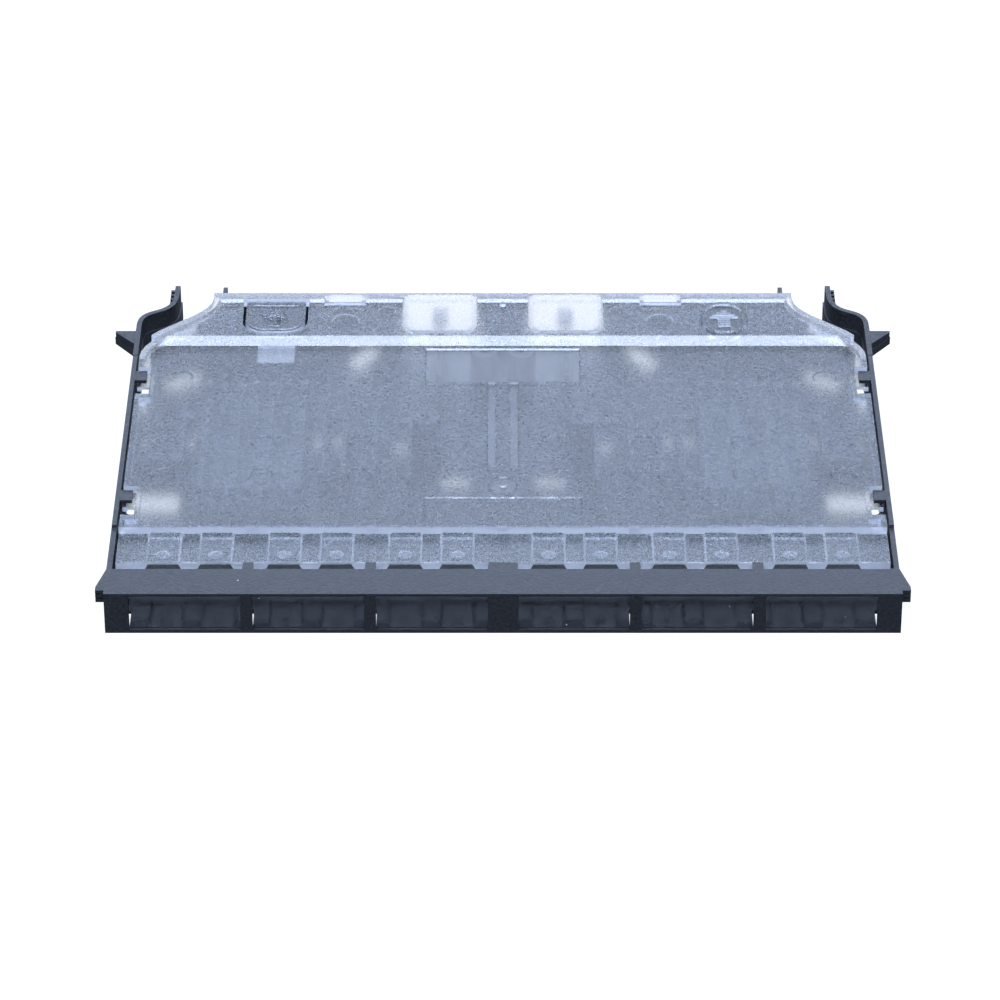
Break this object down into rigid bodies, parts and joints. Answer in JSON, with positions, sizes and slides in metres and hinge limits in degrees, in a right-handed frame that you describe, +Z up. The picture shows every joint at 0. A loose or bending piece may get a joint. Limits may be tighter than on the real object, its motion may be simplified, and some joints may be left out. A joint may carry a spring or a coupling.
{
  "type": "fibre splice cassette",
  "caption": "Shallow black fibre splice cassette: empty adapter windows in the fascia, frosted cover sliding under hooks, spring latch arms, splice holders inside.",
  "frame": {"origin": "on the floor's underside, below the middle of the whole box", "axes": "+X across the fascia to the right, +Y rearwards from the fascia towards the cable entries, +Z up"},
  "size_m": [0.1978, 0.1428, 0.0152],
  "materials": {
    "black_plastic": "fine spark-eroded texture, matt black",
    "grey_plastic": "smooth moulded, dark grey",
    "frosted_plastic": "see-through with a fine frosted texture on top"
  },
  "bodies": {
    "tray": {"tray": "black_plastic", "splice_holder_left": "grey_plastic", "splice_holder_right": "grey_plastic"},
    "latch_arm_left": {"latch_arm_left": "black_plastic"},
    "latch_arm_right": {"latch_arm_right": "black_plastic"},
    "cover": {"cover": "frosted_plastic"},
    "latch_tab": {"cover_latch_tab": "frosted_plastic"}
  },
  "joints": [
    {"name": "cover_slide", "type": "slide", "parent": "tray", "child": "cover", "axis": [0, 1, 0], "range_m": [0, 0.0057]},
    {"name": "latch_tab_press", "type": "hinge", "parent": "cover", "child": "latch_tab", "pos_m": [-0.05795, 0.0586, 0.01365], "axis": [1, 0, 0], "range_deg": [0, 4], "stiffness_Nm_per_rad": 1.1},
    {"name": "latch_arm_left_flex", "type": "hinge", "parent": "tray", "child": "latch_arm_left", "pos_m": [-0.09285, 0.0366, 0.0059], "axis": [0, 0, 1], "range_deg": [-5, 0], "stiffness_Nm_per_rad": 3.4},
    {"name": "latch_arm_right_flex", "type": "hinge", "parent": "tray", "child": "latch_arm_right", "pos_m": [0.09285, 0.0366, 0.0059], "axis": [0, 0, 1], "range_deg": [0, 5], "stiffness_Nm_per_rad": 3.4}
  ]
}
